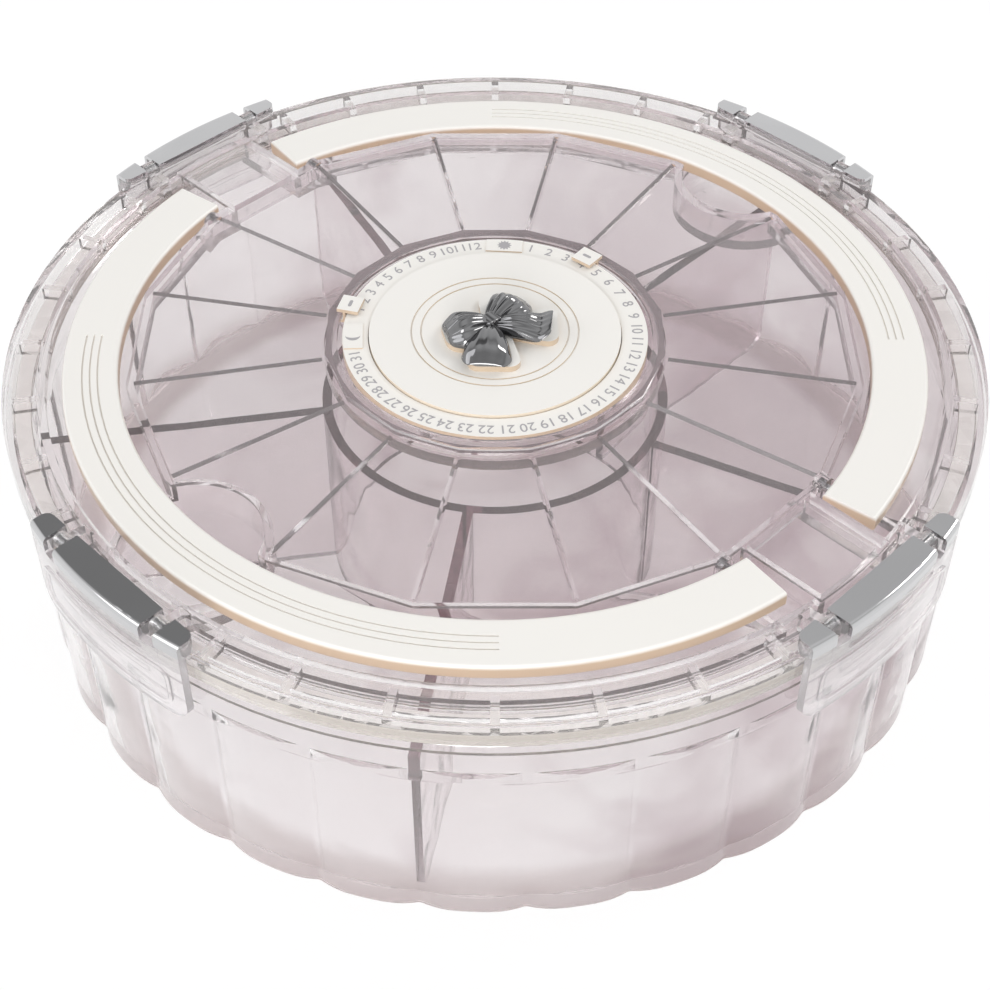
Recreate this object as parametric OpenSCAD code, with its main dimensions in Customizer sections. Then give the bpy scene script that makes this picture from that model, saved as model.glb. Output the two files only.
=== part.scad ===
// Round travel pill organizer: a clear fluted bowl with five compartments, a clear lid with two
// swing handles, four rim latches and a date dial with two sliding pointers.
// Millimetres, +Z up, origin on the table under the middle of the bowl.
// Plan angles start at the front (-Y) and grow towards the right (+X).

/* [Overall] */
// Radius of the lid's rim
rim_r = 75; // [70:0.5:90]
// Height of the handles' top face above the table
deck_z = 45.5; // [40:0.5:60]

/* [Bowl] */
// Wall of the bowl
bowl_wall = 1.5; // [1:0.1:2.2]
// Floor of the bowl
bowl_floor = 1.6; // [1:0.1:3]
// How far the flute crests lie inside the rim
crest_in = 1.1; // [0.8:0.1:3]
// Depth of a flute from crest to valley
flute_depth = 1.15; // [0.6:0.05:1.6]
// Compartments in the bowl
compartments = 5; // [3:1:7]
// Flutes along each compartment
flutes_each = 6; // [4:1:8]
// Plan angle of the first divider, which stands on a flute valley
divider_angle = -8.5; // [-30:0.5:30]
// Rounding of a flute's valley
valley_round = 1.5; // [1:0.1:3]
// Drop from the deck to the band above the flutes
flute_top_drop = 16.5; // [14:0.5:20]
// Rounding of the flutes' upper ends
flute_top_round = 2.8; // [2.4:0.1:4]
// Rounding of the bowl's lower edge
foot_round = 0.9; // [0.5:0.1:1.4]
// Rounding inside the bowl's lower edge
inner_round = 3; // [2:0.5:6]
// Thickness of the bowl's flange
flange_t = 1.9; // [1.2:0.1:3]
// How far the flange's edge lies inside the rim
flange_in = 0.2; // [0.1:0.05:0.6]

/* [Dividers] */
// Radius of the centre column
column_r = 27.3; // [20:0.1:32]
// Wall of the centre column
column_wall = 1.5; // [1:0.1:2.5]
// Thickness of a divider wall
divider_t = 1.6; // [1:0.1:2.5]
// Drop from the deck to the dividers' top edge
divider_drop = 11.7; // [8.5:0.1:16]
// Gap between the dividers and the bowl's wall
divider_gap = 0.3; // [0.2:0.05:0.8]

/* [Lid] */
// Sheet thickness of the lid
lid_t = 1.2; // [0.9:0.1:1.8]
// Thickness of the lid's outer rim wall
rim_wall = 1.5; // [1:0.1:2.2]
// Drop from the deck to the rim's top edge
rim_drop = 1; // [0.6:0.1:1.6]
// Width of the open channel inside the rim
channel_w = 3.7; // [3.3:0.1:5]
// Drop from the deck to the channel's floor
channel_drop = 3; // [2.6:0.1:4]
// Thickness of the channel's floor
channel_floor = 0.6; // [0.5:0.1:1.2]
// Drop from the deck to the top of the channel's inner wall
channel_wall_drop = 0.5; // [0.2:0.1:1]
// Thickness of a rib across the channel
rib_t = 1.2; // [0.8:0.1:2]
// Angle between two ribs
rib_pitch = 10.75; // [9:0.25:12]
// Panels round the deck, a multiple of 8
panels = 16; // [8:8:24]
// Depth of the crease between two panels
crease_cut = 0.45; // [0.2:0.05:0.7]
// Half of the width of the deck's bridges between the two grooves
bridge_half = 7.6; // [6:0.1:7.8]
// Gap between the lid's skirt and the bowl's flange
seam_gap = 0.3; // [0.2:0.05:0.6]

/* [Gasket] */
// Height of the gasket
gasket_h = 1.6; // [1.2:0.1:2.4]
// Width of the gasket
gasket_w = 2.3; // [1.6:0.1:2.6]
// Gap between the gasket and its seat walls
gasket_gap = 0.1; // [0.05:0.05:0.3]
// Thickness of the lid's rib that keeps the gasket
gasket_rib_t = 0.7; // [0.5:0.1:1]
// Height of the lid's rib that keeps the gasket
gasket_rib_h = 0.8; // [0.4:0.1:1.1]

/* [Handles] */
// Width of a handle
handle_w = 8.4; // [7:0.1:10]
// Thickness of a handle
handle_t = 2.5; // [2:0.1:3.2]
// Rounding of a handle's edges
handle_round = 0.5; // [0.2:0.1:0.8]
// Gap between a handle and the channel's wall
handle_gap_out = 2.6; // [1.5:0.1:4]
// Gap between a handle and the deck's corners
handle_gap_in = 1.1; // [0.8:0.05:1.6]
// Gap under a lying handle
handle_rest_gap = 0.3; // [0.2:0.05:0.6]
// Half of the angle between the ends of the two handles
handle_end_half = 8.6; // [8.3:0.1:9.5]
// Radius of the handle pins
handle_pin_r = 0.6; // [0.4:0.05:0.8]
// How far a pin reaches into a handle
handle_pin_reach = 4; // [3:0.1:6]
// Radius of the lugs that hold the handle pins
handle_lug_r = 1.5; // [1.1:0.05:1.6]
// Number of fine lines engraved on a handle
handle_lines = 3; // [1:1:4]
// Spacing of the engraved lines
handle_line_pitch = 1.15; // [0.8:0.05:1.6]
// Width and depth of an engraved line
handle_line_cut = 0.25; // [0.15:0.05:0.4]
// Half of the angle that the engraved lines run over
handle_line_half = 45.5; // [20:0.5:70]

/* [Finger scoops] */
// Radius of a finger scoop
scoop_r = 10.5; // [9:0.5:12]
// How far a scoop reaches inside the handle
scoop_reach = 8.2; // [6:0.1:10]
// Depth of a scoop below the deck
scoop_depth = 6; // [5:0.1:7]

/* [Latches] */
// How far the latches stand above the deck
latch_rise = 1.5; // [1:0.1:2]
// Gap between the channel's wall and the knuckles
latch_in = 1.6; // [1:0.1:1.8]
// Radius of the latch knuckles round their pin
knuckle_r = 1.3; // [1.2:0.05:1.6]
// How far a knuckle reaches inside its pin
knuckle_in = 1.5; // [1.2:0.05:1.8]
// Half of the length of the middle knuckle
bar_half = 9.5; // [8:0.1:12]
// Length of an end knuckle
end_len = 4.2; // [3.5:0.1:6]
// Width of the lid's lugs between the knuckles
lug_w = 2; // [1.5:0.1:3]
// Gap beside the lugs
latch_gap = 0.3; // [0.2:0.05:0.5]
// Gap under the knuckles' path
latch_floor_gap = 0.2; // [0.15:0.05:0.4]
// Radius of the latch pins
latch_pin_r = 0.5; // [0.35:0.05:0.6]
// Thickness of a latch flap
flap_t = 1.1; // [0.8:0.1:1.6]
// Gap between the rim and a flap
flap_gap = 0.2; // [0.2:0.05:0.5]
// Drop from the deck to a flap's lower edge
flap_drop = 13.6; // [12:0.1:18]
// Rounding of a flap's lower corners
flap_round = 2.8; // [1.5:0.1:4]
// Width of the raised outline on a flap
flap_line_w = 0.7; // [0.5:0.1:1]
// Height of the raised outline on a flap
flap_line_h = 0.3; // [0.2:0.05:0.5]
// Height of the finger slot pressed into a flap
flap_slot_h = 1.2; // [0.8:0.1:1.6]
// Depth of the finger slot pressed into a flap
flap_slot_cut = 0.3; // [0.2:0.05:0.5]
// Height of the catch bead inside a flap
bead_h = 0.8; // [0.5:0.1:1.2]
// Gap between the catch bead and the flange's edge
bead_gap = 0.15; // [0.1:0.05:0.3]
// Thickness of the chrome trims
trim_t = 0.6; // [0.4:0.05:0.7]
// How far the trims wrap down the outside
trim_lip = 2.2; // [1.6:0.1:2.4]
// Rounding of the trims' outer edge
trim_round = 0.8; // [0.4:0.05:1]

/* [Date dial] */
// Radius of the dial's printed ring
dial_r = 23.5; // [20:0.1:26]
// Radius of the dial's centre cap
cap_r = 19.4; // [15:0.1:19.6]
// Thickness of the dial plate
dial_t = 1.6; // [1.4:0.1:2.4]
// Thickness of the centre cap
cap_t = 1.5; // [1.3:0.1:1.8]
// Depth of the cap's seat in the dial plate
cap_seat = 1; // [0.6:0.1:1.1]
// Gap round the centre cap
cap_gap = 0.15; // [0.1:0.05:0.3]
// Radii of the two rings pressed into the cap
cap_rings = [11.25, 12.75];
// Width of the slot that the pointers run in
slot_w = 0.8; // [0.7:0.05:1.2]
// Thickness of the bezel
bezel_t = 1.1; // [0.9:0.1:1.5]
// Width of the bezel over the slot side
bezel_w = 2.1; // [1.8:0.1:3]
// How far the bezel hangs over the cup
bezel_lip = 0.9; // [0.7:0.05:1.2]
// Depth of the dial's cup below the deck
cup_depth = 2.3; // [1.5:0.1:3.5]
// Height of the index tabs above the printed ring
tab_rise = 0.2; // [0.1:0.05:0.25]
// Width of an index tab
tab_w = 5.9; // [4:0.1:6.2]
// Length of an index tab
tab_len = 3.2; // [2.6:0.1:3.6]
// Thickness of a pointer
pointer_t = 0.6; // [0.5:0.1:1]
// Width of a pointer
pointer_w = 3.6; // [2:0.1:4]
// Length of a pointer
pointer_len = 3.4; // [2.4:0.1:4]
// Gap round the pointers' feet
pointer_gap = 0.2; // [0.15:0.05:0.25]
// Plan angle of the month tab
month_tab = -87.5; // [-92:0.5:-85]
// Plan angle of the day tab
day_tab = 176; // [172:0.5:180]
// Plan angle of the month pointer, at the first month
month_at = -105; // [-110:0.5:-103]
// Plan angle of the day pointer, at the fourth day
day_at = 140.7; // [120:0.1:164]

/* [Bow] */
// Thickness of the bow's backing
backing_t = 1; // [0.6:0.1:1.5]
// How far the backing stands out round the bow
backing_edge = 0.5; // [0.2:0.1:1]
// Length of a bow loop from the knot
loop_len = 7.6; // [6:0.2:9]
// Width of a loop's end
loop_w = 7; // [5:0.2:8]
// Rounding of a loop's end, which is also its height
loop_round = 2.2; // [1.5:0.1:2.4]
// Length of a bow tail from the knot
tail_len = 9.2; // [7:0.2:10]
// Width of a tail's end
tail_w = 7; // [4:0.2:8]
// Rounding of a tail's end, which is also its height
tail_round = 1.2; // [0.8:0.1:2]
// Radius of the knot
knot_r = 2.3; // [1.8:0.1:3]

/* [Hidden] */
$fn = 96;
LATCHES = 4;
PINS = 4;

// Overlap that joins shapes of one piece, and the reach of a cut past a face
join = 0.1;
past = 1;
// Running clearance of a pin in a moving piece
pin_gap = 0.05;

// Plan angles of the latches and of the handles' middles
latch_angles = [-45, 45, 135, -135];
handle_angles = [-45, 135];

// Levels of the latches, the rim and the bowl's mouth
latch_top = deck_z + latch_rise;
latch_z = latch_top - knuckle_r;
notch_z = latch_z - max(knuckle_in, knuckle_r) - latch_floor_gap;
channel_z = deck_z - channel_drop;
channel_under = channel_z - channel_floor;
flange_z = channel_under - gasket_h;
skirt_z = flange_z + seam_gap;
rim_top = deck_z - rim_drop;
channel_wall_top = deck_z - channel_wall_drop;
groove_z = deck_z - handle_t - handle_rest_gap;
groove_under = groove_z - lid_t;
divider_top = deck_z - divider_drop;
flute_top = deck_z - flute_top_drop;

// Radii of the bowl
flutes = compartments * flutes_each;
crest_r = rim_r - crest_in;
valley_r = crest_r - flute_depth;
band_r = crest_r + join / 2;
flange_r = rim_r - flange_in;
mouth_r = valley_r - bowl_wall + join;
divider_r = valley_r - bowl_wall - divider_gap;

// Radii of the lid, from the rim inwards
channel_out = rim_r - rim_wall;
channel_in = channel_out - channel_w;
groove_out = channel_in - lid_t;
handle_out = groove_out - handle_gap_out;
handle_in = handle_out - handle_w;
deck_r = handle_in - handle_gap_in;
gasket_out = channel_out - gasket_gap;
gasket_in = gasket_out - gasket_w;
basin_r = groove_out - join;
// Ribs on each side of a quarter's middle rib
ribs_side = 2;

// Handle pivots: the axis runs through the deck's corners beside a bridge
panel_half = 180 / panels;
pivot_off = deck_r * sin(panel_half);
pivot_z = deck_z - handle_t / 2;
handle_tail = norm([pivot_off - handle_in * sin(handle_end_half), handle_t / 2]);
pocket_z = pivot_z - handle_tail - handle_rest_gap;
pocket_half = pivot_off + handle_t / 2 + 2 * handle_rest_gap;
lug_end = sqrt(pow(handle_in, 2) - pow(pivot_off + handle_lug_r, 2)) - latch_gap;
lug_start = deck_r * cos(panel_half) - handle_lug_r;
pin_start = lug_start + handle_pin_r;
pin_end = sqrt(pow(handle_in, 2) - pow(pivot_off, 2)) + handle_pin_reach;

// Finger scoops
scoop_at = handle_in - scoop_reach + scoop_r;
scoop_z = deck_z - scoop_depth;

// Latches
knuckle_x = channel_in + latch_in;
latch_x = knuckle_x + knuckle_in;
flap_in = rim_r + flap_gap;
flap_out = flap_in + flap_t;
flap_z = deck_z - flap_drop;
plate_top = latch_top - trim_lip;
end_start = bar_half + lug_w + 2 * latch_gap;
flap_half = end_start + end_len;
notch_half = flap_half + latch_gap;
pin_half = flap_half - knuckle_r;
stop_angle = asin((notch_half + rib_t / 2) / (channel_in + channel_w / 2));
corner_r = end_len / 3;

// Dial, from the cup's floor upwards
cup_z = deck_z - cup_depth;
slot_out = dial_r + slot_w;
bezel_r = slot_out + bezel_w;
cup_r = slot_out + bezel_lip;
bezel_top = deck_z + bezel_t;
dial_top = bezel_top - pointer_gap;
dial_under = dial_top - dial_t;
pointer_z = bezel_top + join;
cap_z = dial_top - cap_seat;
cap_top = cap_z + cap_t;
ring_cut = 0.25;
foot_t = slot_w - 2 * pointer_gap;
pointer_out = cup_r - pointer_gap;
pointer_hook = bezel_lip / 2;

// Bow: the angles of its loops and tails either side of its axis
bow_angle = 45;
loop_spread = 60;
tail_spread = 46;
neck_r = 1.3;
bow_z = cap_top + backing_t;

// Points of a regular polygon
function ring_points(r, n, start) =
    [for (i = [0 : n - 1]) let (angle = start + 360 * i / n) r * [cos(angle), sin(angle)]];
// Radius of the lobes of a fluted outline, whose valleys are arcs about points at radius out
function lobe_r(crest, out, round, n) =
    (crest * crest + out * out - 2 * crest * out * cos(180 / n) - round * round)
    / (2 * (crest + round - out * cos(180 / n)));

// Turns a child from +X to a plan angle
module at(angle) { rotate([0, 0, angle - 90]) children(); }

// Extrudes a drawing of (x, z) along y
module along_y(y0, y1) { translate([0, y1, 0]) rotate([90, 0, 0]) linear_extrude(y1 - y0) children(); }

// Extrudes a drawing of (y, z) along x
module along_x(x0, x1) { translate([x0, 0, 0]) rotate([90, 0, 90]) linear_extrude(x1 - x0) children(); }

// Ring between two radii and two heights
module ring(r0, r1, z0, z1) { rotate_extrude() translate([r0, z0]) square([r1 - r0, z1 - z0]); }

// Outline of the flutes, drawn in by inset: round lobes that run into round valleys
module fluted_outline(inset) {
    out = valley_r + valley_round;
    lobe = lobe_r(crest_r, out, valley_round, flutes);
    hub = crest_r - lobe;
    step = 360 / flutes;
    difference() {
        union() {
            polygon([for (i = [0 : 2 * flutes - 1])
                (i % 2 == 0 ? hub : out) * [cos(i * step / 2), sin(i * step / 2)]]);
            for (i = [0 : flutes - 1]) rotate(i * step) translate([hub, 0]) circle(lobe - inset);
        }
        for (i = [0 : flutes - 1]) rotate((i + 0.5) * step) translate([out, 0])
            circle(valley_round + inset);
    }
}

// Outline of the deck, drawn in by inset
module deck_outline(inset = 0) {
    polygon(ring_points(deck_r - inset / cos(panel_half), panels, panel_half));
}

// Rectangle with rounded corners between two points
module round_rect(p0, p1, r) {
    size = p1 - p0;
    translate(p0 + [r, 0]) square([size.x - 2 * r, size.y]);
    translate(p0 + [0, r]) square([size.x, size.y - 2 * r]);
    for (x = [p0.x + r, p1.x - r], y = [p0.y + r, p1.y - r]) translate([x, y]) circle(r);
}

// Ring that rounds off the lower edge of a body of radius r at height z
module round_off(r, z, radius) {
    rotate_extrude() difference() {
        translate([r - radius, z - past]) square(radius + past);
        translate([r - radius, z + radius]) circle(radius);
    }
}

// Fluted body drawn in by a wall, with its ends rounded off
module fluted(wall, z0, z1, lower, upper) {
    r = crest_r - wall + join;
    difference() {
        translate([0, 0, z0]) linear_extrude(z1 - z0) rotate(divider_angle - 90 + 180 / flutes)
            fluted_outline(wall);
        round_off(r, z0, lower);
        translate([0, 0, z1]) mirror([0, 0, 1]) round_off(r, 0, upper);
    }
}

module base_bowl() {
    inner_top = flute_top + flute_top_round;
    color([0.93, 0.92, 0.95, 0.4]) difference() {
        union() {
            fluted(0, 0, inner_top + flute_top_round, foot_round, flute_top_round);
            difference() {
                ring(mouth_r - join, band_r, flute_top, flange_z);
                round_off(band_r, flute_top, flute_top_round);
            }
            ring(mouth_r - join, flange_r, flange_z - flange_t, flange_z);
        }
        fluted(bowl_wall, bowl_floor, inner_top, inner_round, flute_top_round - bowl_wall);
        translate([0, 0, flute_top]) cylinder(r = mouth_r, h = deck_z);
    }
}

module divider_insert() {
    wall_in = column_r - column_wall / 2;
    color([0.93, 0.92, 0.95, 0.4]) difference() {
        translate([0, 0, bowl_floor]) linear_extrude(divider_top - bowl_floor) {
            difference() {
                circle(column_r);
                circle(column_r - column_wall);
            }
            for (i = [0 : compartments - 1]) rotate(divider_angle - 90 + 360 * i / compartments)
                translate([wall_in, -divider_t / 2]) square([divider_r - wall_in, divider_t]);
        }
        round_off(divider_r + join, bowl_floor, inner_round + divider_gap);
    }
}

module gasket() { color([0.96, 0.95, 0.93]) ring(gasket_in, gasket_out, flange_z, channel_under); }

// Lid: the rim with its channel, the groove's floor and the rib that keeps the gasket
module lid_rim() {
    keep_r = gasket_in - gasket_gap;
    ring(channel_out, rim_r, skirt_z, rim_top);
    ring(channel_in - join, channel_out + join, channel_under, channel_z);
    ring(groove_out, channel_in, groove_under, channel_wall_top);
    ring(keep_r - gasket_rib_t, keep_r, channel_under - gasket_rib_h, channel_under + join);
    translate([0, 0, groove_under]) linear_extrude(lid_t) difference() {
        circle(groove_out + join);
        deck_outline(lid_t);
    }
}

// Lid: ribs across the channel, with a stop wall beside each latch
module lid_ribs() {
    for (quarter = [0 : 3]) {
        for (i = [-ribs_side : ribs_side]) at(90 * quarter + i * rib_pitch) lid_rib();
        for (side = [-1, 1]) at(90 * quarter + 45 + side * stop_angle) lid_rib();
    }
}

module lid_rib() {
    translate([channel_in - join, -rib_t / 2, channel_z - join])
        cube([channel_w + 2 * join, rib_t, rim_top - channel_z + join]);
}

// Lid: deck sheet with its edge wall and the cup under the dial
module lid_deck() {
    translate([0, 0, deck_z - lid_t]) linear_extrude(lid_t) difference() {
        deck_outline();
        circle(cup_r);
    }
    translate([0, 0, groove_under]) linear_extrude(deck_z - lid_t / 2 - groove_under) difference() {
        deck_outline();
        deck_outline(lid_t);
    }
    ring(cup_r, cup_r + lid_t, cup_z - lid_t, deck_z - lid_t / 2);
    translate([0, 0, cup_z - lid_t]) cylinder(r = cup_r + join, h = lid_t);
}

// Lid: V-shaped creases between the deck's panels
module lid_creases() {
    for (i = [0 : panels - 1]) rotate(panel_half * (2 * i + 1))
        along_x(bezel_r + crease_cut, deck_r - lid_t)
            polygon([[-2 * crease_cut, deck_z + crease_cut], [0, deck_z - crease_cut],
                [2 * crease_cut, deck_z + crease_cut]]);
}

// Lid: bridge of the deck between the ends of the two grooves
module lid_bridge() {
    translate([0, 0, groove_under]) linear_extrude(deck_z - groove_under) difference() {
        intersection() {
            translate([0, -bridge_half]) square([rim_r, 2 * bridge_half]);
            circle(channel_in - join);
        }
        deck_outline(lid_t / 2);
    }
}

// Lid: hollow under a bridge
module lid_bridge_hollow() {
    half = bridge_half - lid_t - join;
    translate([0, 0, groove_under - lid_t]) linear_extrude(deck_z - groove_under) difference() {
        intersection() {
            translate([0, -half]) square([rim_r, 2 * half]);
            circle(basin_r);
        }
        deck_outline(-join);
    }
}

// Lid: pockets under the handles' ends beside a bridge, widened by a wall for their solid
module lid_pocket(wall, near, top) {
    for (side = [0, 1]) mirror([0, side, 0])
        translate([0, 0, pocket_z - wall]) linear_extrude(top - pocket_z + wall) difference() {
            intersection() {
                translate([0, near]) square([rim_r, pocket_half + wall - near]);
                circle(basin_r + wall);
            }
            deck_outline(wall - join);
        }
}

// Lid: finger scoop, widened by a wall for its solid
module lid_scoop(wall, top) {
    translate([0, 0, scoop_z - wall]) linear_extrude(top - scoop_z + wall) intersection() {
        translate([scoop_at, 0]) circle(scoop_r + wall);
        circle(basin_r + wall);
    }
}

// Lid: wall of a finger scoop up to the deck's sheet
module lid_scoop_wall() {
    translate([0, 0, groove_under]) linear_extrude(deck_z - lid_t / 2 - groove_under) intersection() {
        translate([scoop_at, 0]) circle(scoop_r + lid_t);
        deck_outline(lid_t / 2);
    }
}

// Lid: what is cut out of the rim for one latch
module lid_latch_notch() {
    translate([channel_in + join, -notch_half, notch_z])
        cube([rim_r, 2 * notch_half, deck_z]);
}

// Profile of a lug: a round head over a straight foot
module lug_profile(x, z, r, foot_x, foot_z) {
    translate([x, z]) circle(r);
    translate([foot_x, foot_z]) square([x + r - foot_x, z - foot_z]);
}

// Lid: the two lugs that hold one latch pin
module lid_latch_lugs() {
    for (side = [0, 1]) mirror([0, side, 0]) along_y(bar_half + latch_gap, bar_half + latch_gap + lug_w)
        lug_profile(latch_x, latch_z, knuckle_r, groove_out + join, channel_under);
}

// Lid: the two lugs that hold one handle's pins
module lid_handle_lugs() {
    for (side = [0, 1]) mirror([0, side, 0]) along_y(lug_start, lug_end)
        lug_profile(pivot_off, pivot_z, handle_lug_r, pivot_off - handle_lug_r, pocket_z - lid_t / 2);
}

module lid_shell() {
    color([0.93, 0.92, 0.95, 0.35]) difference() {
        union() {
            difference() {
                union() {
                    lid_rim();
                    lid_ribs();
                    lid_deck();
                    for (a = handle_angles) at(a + 90) {
                        lid_bridge();
                        lid_pocket(lid_t, bridge_half - lid_t, groove_z - join);
                    }
                    for (a = handle_angles) at(a) lid_scoop(lid_t, groove_z - join);
                    for (a = handle_angles) at(a) lid_scoop_wall();
                }
                lid_creases();
                for (a = handle_angles) at(a + 90) {
                    lid_bridge_hollow();
                    lid_pocket(0, bridge_half + join, deck_z);
                }
                for (a = handle_angles) at(a) lid_scoop(0, deck_z + past);
                for (a = latch_angles) at(a) lid_latch_notch();
            }
            for (a = latch_angles) at(a) lid_latch_lugs();
            for (a = handle_angles) at(a) lid_handle_lugs();
        }
        for (a = latch_angles) at(a) latch_pin_shape(0, 0);
        for (a = handle_angles, side = [0, 1]) at(a) mirror([0, side, 0]) handle_pin_shape(0, 0);
    }
}

// Pin of a handle, widened and lengthened for its bore
module handle_pin_shape(wider, longer) {
    translate([pivot_off, pin_end + longer, pivot_z]) rotate([90, 0, 0])
        cylinder(r = handle_pin_r + wider, h = pin_end - pin_start + 2 * longer);
}

module handle_pin(i) {
    color([0.72, 0.72, 0.74]) at(handle_angles[floor((i - 1) / 2)])
        mirror([0, (i - 1) % 2, 0]) handle_pin_shape(0, 0);
}

// A handle lies in the groove with its middle along +X
module handle_shape() {
    sweep = 180 - 2 * handle_end_half;
    first_line = (handle_in + handle_out - handle_line_cut - (handle_lines - 1) * handle_line_pitch) / 2;
    difference() {
        rotate([0, 0, -sweep / 2]) rotate_extrude(angle = sweep)
            round_rect([handle_in, deck_z - handle_t], [handle_out, deck_z], handle_round);
        rotate([0, 0, -handle_line_half]) rotate_extrude(angle = 2 * handle_line_half)
            for (i = [0 : handle_lines - 1])
                translate([first_line + i * handle_line_pitch, deck_z - handle_line_cut])
                    square([handle_line_cut, past]);
        for (side = [0, 1]) mirror([0, side, 0]) handle_pin_shape(pin_gap, join);
    }
}

module handle_left() { color([0.96, 0.95, 0.92]) at(handle_angles[0]) handle_shape(); }
module handle_right() { color([0.96, 0.95, 0.92]) at(handle_angles[1]) handle_shape(); }

// Pin of a latch, widened and lengthened for its bore
module latch_pin_shape(wider, longer) {
    translate([latch_x, pin_half + longer, latch_z]) rotate([90, 0, 0])
        cylinder(r = latch_pin_r + wider, h = 2 * (pin_half + longer));
}

module latch_pin(i) { color([0.72, 0.72, 0.74]) at(latch_angles[i - 1]) latch_pin_shape(0, 0); }

// Plan of the middle knuckle, and of the two end knuckles with their rounded corners
module bar_plan() { translate([knuckle_x, -bar_half]) square([flap_out, 2 * bar_half]); }

module end_plan() {
    for (side = [0, 1]) mirror([0, side]) difference() {
        translate([knuckle_x, end_start]) square([flap_out, end_len]);
        translate([knuckle_x, flap_half]) difference() {
            translate([-corner_r, -corner_r]) square(2 * corner_r);
            translate([corner_r, -corner_r]) circle(corner_r);
        }
    }
}

// Section of the clear knuckles under the trims
module knuckle_section() {
    height = 2 * knuckle_r - trim_t;
    low = latch_z - knuckle_r;
    translate([latch_x, low]) square([flap_out, height]);
    translate([knuckle_x, latch_z]) square([knuckle_in + join, height - knuckle_r]);
    intersection() {
        translate([latch_x, latch_z]) circle(knuckle_r);
        translate([knuckle_x, low]) square([2 * knuckle_in, height]);
    }
}

// Outline of a flap below its knuckles, seen from outside
module flap_outline() {
    lug_gap_top = latch_z - knuckle_r;
    difference() {
        union() {
            round_rect([-flap_half, flap_z], [flap_half, plate_top], flap_round);
            translate([-flap_half, plate_top - 2 * flap_round]) square([2 * flap_half, 2 * flap_round]);
        }
        for (side = [0, 1]) mirror([side, 0])
            translate([bar_half, lug_gap_top]) square([end_start - bar_half, past + trim_lip]);
    }
}

// Raised outline on a flap
module flap_line() {
    edge = [flap_round - flap_line_w, 2 * flap_line_w + trim_lip];
    low = [-flap_half + edge.x, flap_z + 2 * flap_line_w + bead_h / 2];
    high = [flap_half - edge.x, plate_top - edge.y];
    inner = [flap_line_w, flap_line_w];
    difference() {
        round_rect(low, high, flap_round - flap_line_w);
        round_rect(low + inner, high - inner, flap_round - 2 * flap_line_w);
    }
}

module latch_flap_shape() {
    bead_top = flange_z - flange_t - bead_gap;
    bead_in = flange_r + bead_gap;
    slot_z = plate_top - flap_slot_h;
    difference() {
        union() {
            intersection() {
                along_y(-flap_half, flap_half) knuckle_section();
                cylinder(r = flap_out - trim_t, h = latch_top);
                linear_extrude(latch_top) union() {
                    bar_plan();
                    end_plan();
                }
            }
            intersection() {
                ring(flap_in, flap_out, flap_z - past, plate_top);
                along_x(latch_x - flap_half, flap_out + past) flap_outline();
            }
            intersection() {
                ring(flap_out - join, flap_out + flap_line_h, flap_z, plate_top);
                along_x(latch_x - flap_half, flap_out + past) flap_line();
            }
            intersection() {
                ring(bead_in, flap_in + join, bead_top - bead_h, bead_top);
                translate([0, -bar_half, 0]) cube([flap_out, 2 * bar_half, deck_z]);
            }
        }
        latch_pin_shape(pin_gap, join);
        intersection() {
            ring(flap_out - flap_slot_cut, flap_out + past, slot_z - flap_slot_h, slot_z);
            along_x(latch_x, flap_out + past)
                round_rect([-bar_half, slot_z - flap_slot_h], [bar_half, slot_z], flap_slot_h / 2 - join);
        }
    }
}

module latch_flap(i) { color([0.93, 0.92, 0.95, 0.35]) at(latch_angles[i - 1]) latch_flap_shape(); }

// Half section of a trim: a flat top with a lip that wraps round the outside
module trim_section() {
    low = latch_top - trim_lip;
    difference() {
        union() {
            translate([0, low]) square([flap_out - trim_round, trim_lip]);
            translate([0, low]) square([flap_out, trim_lip - trim_round]);
            translate([flap_out - trim_round, latch_top - trim_round]) circle(trim_round);
        }
        translate([0, low - past]) square([flap_out - trim_t, trim_lip - trim_t + past]);
    }
}

module latch_bar_trim(i) {
    color([0.6, 0.6, 0.62]) at(latch_angles[i - 1]) intersection() {
        rotate_extrude() trim_section();
        linear_extrude(latch_top + past) bar_plan();
    }
}

module latch_end_trims(i) {
    color([0.6, 0.6, 0.62]) at(latch_angles[i - 1]) intersection() {
        rotate_extrude() trim_section();
        linear_extrude(latch_top + past) end_plan();
    }
}

module dial_plate() {
    seat_r = cap_r + cap_gap;
    color([0.96, 0.95, 0.92]) difference() {
        union() {
            translate([0, 0, dial_under]) cylinder(r = dial_r, h = dial_t);
            ring(seat_r - dial_t, seat_r, cup_z, dial_under + join);
            for (a = [month_tab, day_tab]) at(a) intersection() {
                translate([dial_r - tab_len, -tab_w / 2, dial_top - join])
                    cube([rim_r, tab_w, tab_rise + join]);
                translate([0, 0, dial_under]) cylinder(r = dial_r - join, h = dial_t + tab_rise);
            }
        }
        translate([0, 0, cap_z]) cylinder(r = seat_r, h = cap_t);
    }
}

module dial_cap() {
    color([0.96, 0.95, 0.92]) difference() {
        translate([0, 0, cap_z]) cylinder(r = cap_r, h = cap_t);
        for (r = cap_rings) ring(r, r + ring_cut, cap_top - ring_cut, cap_top + past);
    }
}

module dial_bezel() {
    color([0.93, 0.92, 0.95, 0.35]) translate([0, 0, deck_z]) linear_extrude(bezel_t) difference() {
        polygon(ring_points(bezel_r, panels, panel_half));
        circle(slot_out);
    }
}

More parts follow.
